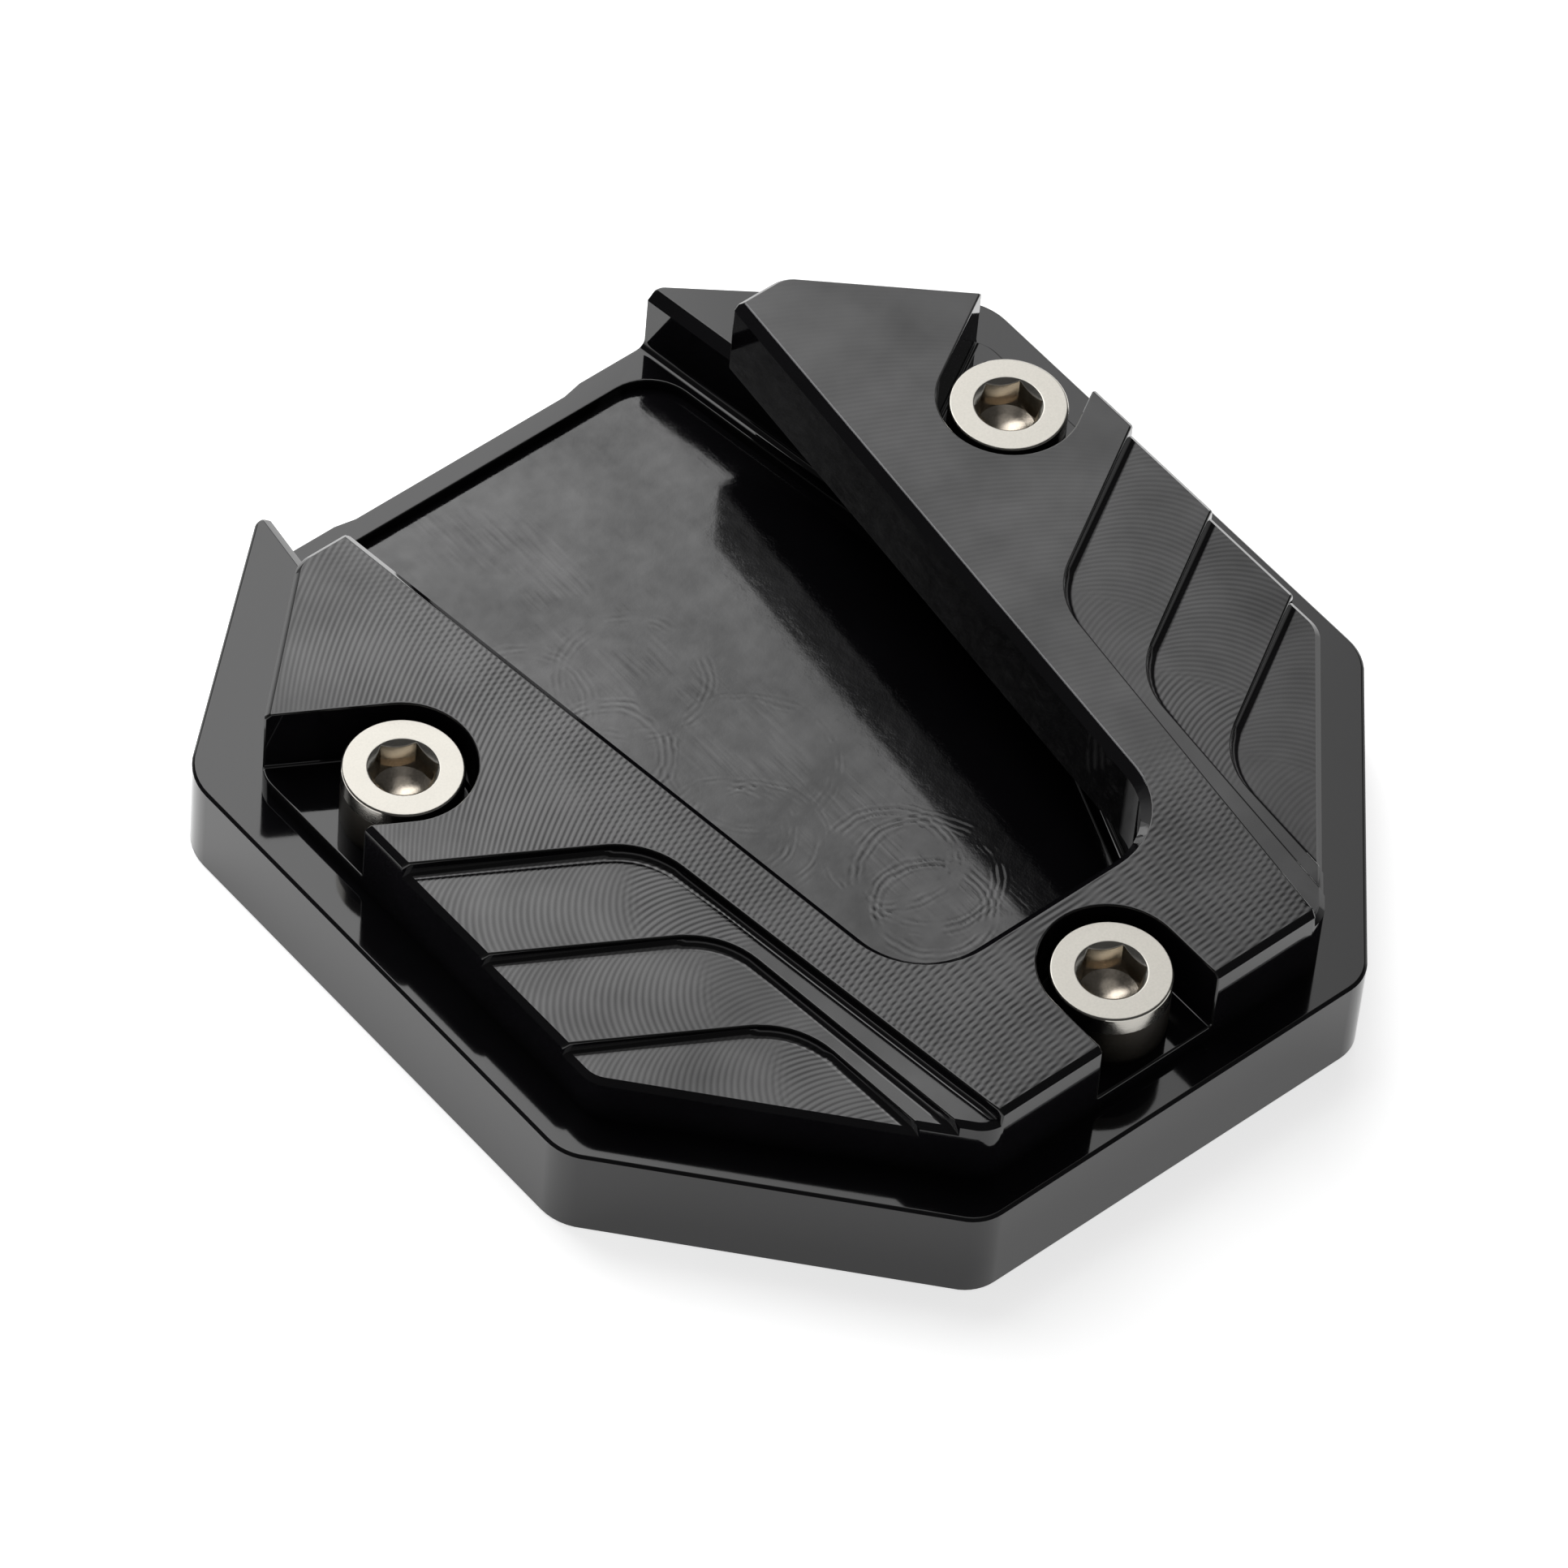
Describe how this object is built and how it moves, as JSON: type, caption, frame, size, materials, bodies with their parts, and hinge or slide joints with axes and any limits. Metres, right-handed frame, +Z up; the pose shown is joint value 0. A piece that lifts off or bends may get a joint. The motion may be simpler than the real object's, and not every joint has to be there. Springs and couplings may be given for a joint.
{
  "type": "motorcycle kickstand foot enlarger",
  "caption": "Wide sole for a motorcycle side stand: pocketed octagonal base with a stepped U-shaped clamp plate screwed on top.",
  "frame": {"origin": "middle of the flat underside of the base plate", "axes": "+Z up, +Y towards the open mouth where the stand's leg comes in, X across"},
  "size_m": [0.0868, 0.093, 0.0179],
  "materials": {
    "anodised_base": "black anodised, satin to gloss",
    "anodised_clamp": "black anodised with fine milling lines",
    "bright_steel": "polished, bright"
  },
  "bodies": {
    "root": {"base_plate": "anodised_base", "clamp_plate": "anodised_clamp", "screw_front": "bright_steel", "screw_left": "bright_steel", "screw_right": "bright_steel"}
  },
  "joints": []
}
